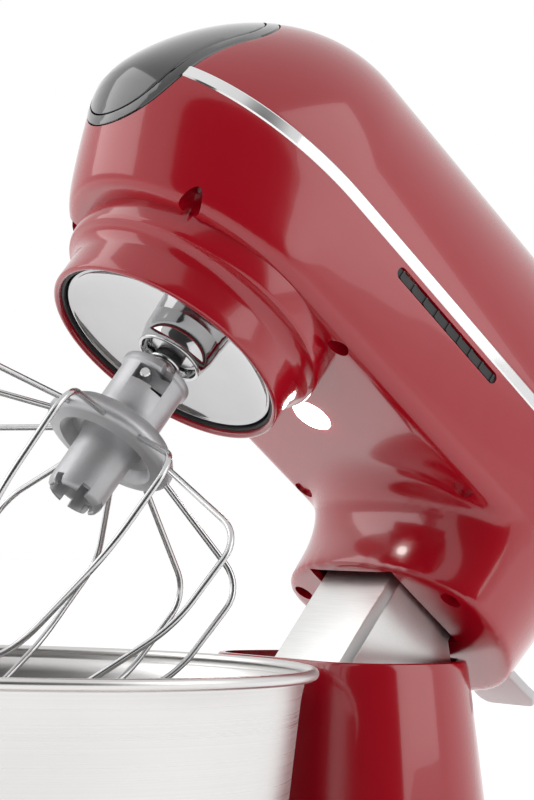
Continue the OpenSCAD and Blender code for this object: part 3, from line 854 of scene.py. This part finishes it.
def bent(points, radii, steps=8):
    """A line of (radius, height) points with every inner corner rounded."""
    line = [Vector(points[0])]
    for before, here, after, radius in zip(points, points[1:], points[2:], radii):
        a = (Vector(before) - Vector(here)).normalized()
        b = (Vector(after) - Vector(here)).normalized()
        half = a.angle(b) / 2
        centre = Vector(here) + (a + b).normalized() * radius / math.sin(half)
        start = Vector(here) + a * radius / math.tan(half) - centre
        end = Vector(here) + b * radius / math.tan(half) - centre
        for i in range(steps + 1):
            line.append(centre + start.slerp(end, i / steps).normalized() * radius)
    line.append(Vector(points[-1]))
    return line


def whisk_wires():
    """Five wire loops, each a little deeper than the last, fanned round the hub."""
    wires = []
    for index in range(WIRE_LOOPS):
        low = 51 - index * 2.4
        half = [(22, 150.4), (70, 133), (67, 92), (43, low)]
        line = bent([(-r, z) for r, z in half] + half[::-1], [14, 50, 26, 26, 50, 14])
        point("wire", line[0][0], 0, line[0][1])
        for a, b in zip(line, line[1:]):
            pull(x=b[0] - a[0], z=b[1] - a[1])
        leave()
        bpy.ops.object.convert(target="CURVE")
        wire = bpy.context.object
        wire.data.bevel_depth = WIRE * MM
        wire.data.bevel_resolution = 4
        wire.data.use_fill_caps = True
        bpy.ops.object.convert(target="MESH")
        wire = bpy.context.object
        wires.append(laid(wire, shift(SHAFT_X, SHAFT_Y, 0) @ turn(SHAFT_TURN + index * 36 + 8)))
    whisk = joined(*wires)
    whisk.name = "whisk_wire_loops"
    finished(whisk, SHAFT_STEEL, "whisk", "steel", "whisk_wires", angle=80)


# ---- arm hinge and lever ----
def hinge_block():
    """The steel block that joins the arm to the hinge pin, with its two front corners taken off."""
    hinge_y, hinge_z = DOWN_HINGE.y / MM, DOWN_HINGE.z / MM
    outline = [(129.5, 217), (129.5, 143), (133, 139)]
    outline += arc(hinge_y, hinge_z, 13.5, 262, 372, 10)
    outline += [(182, 178), (168, 190), (168, 217)]
    piece = plate("hinge_block_body", outline, -23.7, 23.7)
    take(piece)
    edit()
    pick_edges(lambda a, b: abs(a.y - 129.5) < 0.01 and abs(b.y - 129.5) < 0.01 and abs(a.x - b.x) < 0.01)
    bpy.ops.mesh.bevel(offset=3.2 * MM, segments=1, affect="EDGES")
    leave()
    softened(piece, 0.35, 2, 30)
    finished(piece, BLOCK_STEEL, "head", "steel_bowl", "hinge_block", angle=30)


def release_lever():
    """The paddle behind the neck and the barrel that it turns on."""
    outline = [(-16.5, 196), (-16.5, 222)] + [(-11 + x, 226 + y) for x, y in arc(0, 0, 6, 180, 90, 6)]
    outline += [(11 + x, 226 + y) for x, y in arc(0, 0, 6, 90, 0, 6)] + [(16.5, 222), (16.5, 196)]
    piece = plate("lever_paddle", outline, 202.4, 206.8, across="z")
    softened(piece, 1.1, 4, 50)
    barrel = turned("barrel", [(1.7, -16), (3.6, -16), (4, -15.6), (4, 15.6), (3.6, 16), (1.7, 16),
                               (1.7, -16)], 40)
    joined(piece, laid(barrel, shift(0, 196, 204.6) @ turn(90, "Y")))
    finished(piece, LEVER, "lever", "lever_grey", "release_lever")


# ---- base and bowl ----
COLUMN_TOP = 190.5
COLUMN_Y = 155


def column():
    """The upright of the base, flat in front and round behind, with the boss of the speed knob."""
    clear()
    bpy.ops.mesh.primitive_plane_add(size=1, location=(0, 0, 0))
    piece = bpy.context.object
    piece.name = "column_body"
    piece.scale = (104 * MM, 83 * MM, 1)
    piece.location = (0, 165.5 * MM, COLUMN_TOP * MM)
    settle()
    edit()
    pick("VERT", lambda p: p.y < COLUMN_Y)
    bpy.ops.mesh.bevel(offset=25.5 * MM, segments=16, affect="VERTICES")
    pick("VERT", lambda p: p.y > 200)
    bpy.ops.mesh.bevel(offset=50 * MM, segments=24, affect="VERTICES")
    bpy.ops.mesh.select_all(action="SELECT")
    rises = [(190.1, 1.012), (189.3, 1.018)]
    rises += [(z, 1.02 + (COLUMN_TOP - z) * 0.0028) for z in (187.5, 150, 110, 70, 45)]
    rises += [(36, 1.47), (31, 1.50), (28, 1.54), (26.4, 1.59), (24, 1.6)]
    was, top = 1.0, COLUMN_TOP
    for z, scale in rises:
        pull(z=z - top)
        size_about(scale / was, scale / was, 1, (0, COLUMN_Y, z))
        was, top = scale, z
    close_up()
    pick("FACE", lambda p: p.z > COLUMN_TOP - 0.05)
    bpy.ops.mesh.inset(thickness=2.2 * MM)
    pull(z=-2.2)
    leave()
    cut(piece, block((-25, 126.5, 40), (25, 203, 200)))
    boss = turned("boss", [(0, -20), (29.5, -20), (28.2, 4), (27.6, 10.5), (27, 12.8), (26.2, 14),
                           (0, 14)], 72)
    cut(piece, laid(boss, shift(60, 165, 75) @ turn(90, "Y")), how="UNION")
    finished(piece, RED, "base", "red_shell", "base_housing", place=STAND, angle=35)


def foot():
    """The round plate under the bowl run into the foot of the column."""
    disc = turned("foot_plate", [(0, 5), (107.4, 5), (108, 5.6), (108, 26), (0, 26)], 160)
    slab = block((-86, 0, 5), (86, 234, 26))
    take(slab)
    edit()
    pick_edges(lambda a, b: a.y > 200 and b.y > 200 and abs(a.x - b.x) < 0.01 and abs(a.y - b.y) < 0.01)
    bpy.ops.mesh.bevel(offset=34 * MM, segments=14, affect="EDGES")
    leave()
    cut(disc, slab, how="UNION")
    take(disc)
    edit()
    bpy.ops.mesh.select_all(action="SELECT")
    bpy.ops.mesh.dissolve_limited(angle_limit=math.radians(0.5))
    pick_edges(lambda a, b: min(a.z, b.z) > 25.9 and a.to_2d().length + b.to_2d().length > 170)
    bpy.ops.mesh.bevel(offset=5 * MM, segments=6, affect="EDGES")
    leave()
    cut(disc, rod(12, 4, 24))
    finished(disc, RED, "base", "red_shell", "base_housing", place=STAND, angle=35)


def bowl():
    """The bowl's wall, thin all over, with a rolled rim."""
    outer = [(0, 35.5), (55, 35.5)] + arc(57, 74, 38.4, -86, -35, 10)
    outer += [(96.5, 70), (100, 86), (102.8, 110), (105, 143), (107, 164.6), (108.4, 179), (109.6, 185.2)]
    roll = arc(112.6, 188.6, 2.2, 215, -125, 14)
    inner = [(108.7, 185.4), (107.5, 179), (106.1, 164.6), (104.1, 143), (101.9, 110), (99.1, 86.4),
             (95.7, 70.8)]
    inner += arc(57, 74, 37.5, -35, -86, 10) + [(55, 36.5), (0, 36.5)]
    piece = turned("bowl_shell", outer + roll + inner, 192)
    finished(piece, BOWL_STEEL, "bowl", "steel_bowl", "bowl", place=STAND, angle=60)


# ---- stage, light and camera ----
def stage():
    """The pale floor."""
    clear()
    bpy.ops.mesh.primitive_plane_add(size=40, location=(0, 0, 0))
    floor = bpy.context.object
    floor.name = "studio_floor"
    f = Finish("floor_paper", (0.9, 0.9, 0.9), 0.8, emission_color=(1, 1, 1, 1), emission_strength=0.3)
    f.colours(f.noise(3, 2), (0.88, 0.88, 0.88), (0.92, 0.92, 0.92))
    dressed(floor, f.material)


CAMERA_AT = Vector((0.73278, -0.54287, 0.23482))
YAW, PITCH, ROLL = math.radians(52.329), math.radians(3.526), math.radians(1.566)
FOCAL = 105.41


def camera():
    look = Vector((-math.sin(YAW) * math.cos(PITCH), math.cos(YAW) * math.cos(PITCH), math.sin(PITCH)))
    right = Vector((math.cos(YAW), math.sin(YAW), 0))
    up = right.cross(look)
    across = right * math.cos(ROLL) + up * math.sin(ROLL)
    above = -right * math.sin(ROLL) + up * math.cos(ROLL)
    data = bpy.data.cameras.new("camera")
    data.lens = FOCAL
    data.sensor_width = 36
    data.clip_start = 0.02
    data.clip_end = 60
    eye = bpy.data.objects.new("camera", data)
    bpy.context.scene.collection.objects.link(eye)
    aim = Matrix((across, above, -look)).transposed().to_4x4()
    eye.matrix_world = Matrix.Translation(CAMERA_AT) @ aim
    bpy.context.scene.camera = eye


def softbox(name, place, aim, size, power):
    data = bpy.data.lights.new(name, "AREA")
    data.shape = "RECTANGLE"
    data.size, data.size_y = size
    data.energy = power
    light = bpy.data.objects.new(name, data)
    bpy.context.scene.collection.objects.link(light)
    light.location = place
    light.rotation_mode = "QUATERNION"
    light.rotation_quaternion = (Vector(aim) - Vector(place)).to_track_quat("-Z", "Y")


def room_light():
    """White all round, but for a dark side behind the camera; the camera itself sees white."""
    world = bpy.data.worlds.new("studio")
    bpy.context.scene.world = world
    world.use_nodes = True
    nodes, links = world.node_tree.nodes, world.node_tree.links
    nodes.clear()
    out = nodes.new("ShaderNodeOutputWorld")
    where = nodes.new("ShaderNodeTexCoord")
    toward = nodes.new("ShaderNodeVectorMath")
    toward.operation = "DOT_PRODUCT"
    toward.inputs[1].default_value = Vector((0.86, -0.50, 0.06)).normalized()
    ramp = nodes.new("ShaderNodeValToRGB")
    stops = [(0.0, 1.0), (0.55, 0.95), (0.68, 0.85), (0.71, 0.1), (1.0, 0.05)]
    while len(ramp.color_ramp.elements) < len(stops):
        ramp.color_ramp.elements.new(0.5)
    for element, (place, tone) in zip(ramp.color_ramp.elements, stops):
        element.position = place
        element.color = (tone, tone, tone, 1)
    soft = nodes.new("ShaderNodeBackground")
    soft.inputs[1].default_value = 0.9
    plain = nodes.new("ShaderNodeBackground")
    plain.inputs[0].default_value = (1, 1, 1, 1)
    ray = nodes.new("ShaderNodeLightPath")
    mix = nodes.new("ShaderNodeMixShader")
    links.new(where.outputs["Generated"], toward.inputs[0])
    links.new(toward.outputs["Value"], ramp.inputs[0])
    links.new(ramp.outputs[0], soft.inputs[0])
    links.new(ray.outputs["Is Camera Ray"], mix.inputs[0])
    links.new(soft.outputs[0], mix.inputs[1])
    links.new(plain.outputs[0], mix.inputs[2])
    links.new(mix.outputs[0], out.inputs[0])


for made in (upper_shell, lower_shell, tower, trim_band, nose_pieces, lamp, drive_disc, shaft, whisk_hub,
             whisk_wires, hinge_block, release_lever, column, foot, bowl):
    made()

SLOTS = {row["node"]: row["material_slot"] for row in frame["record"]["subparts"]}
for node, piece in frame["nodes"].items():
    dressed(piece, BY_SLOT[SLOTS[node]])

stage()
camera()
room_light()
softbox("key_light", (-1.6, -1.9, 1.8), (0, 0, 0.25), (2.4, 2.4), 26)
softbox("side_light", (1.9, 1.3, 1.4), (0, 0, 0.25), (1.6, 2.0), 12)
bpy.context.scene.view_settings.view_transform = "Standard"
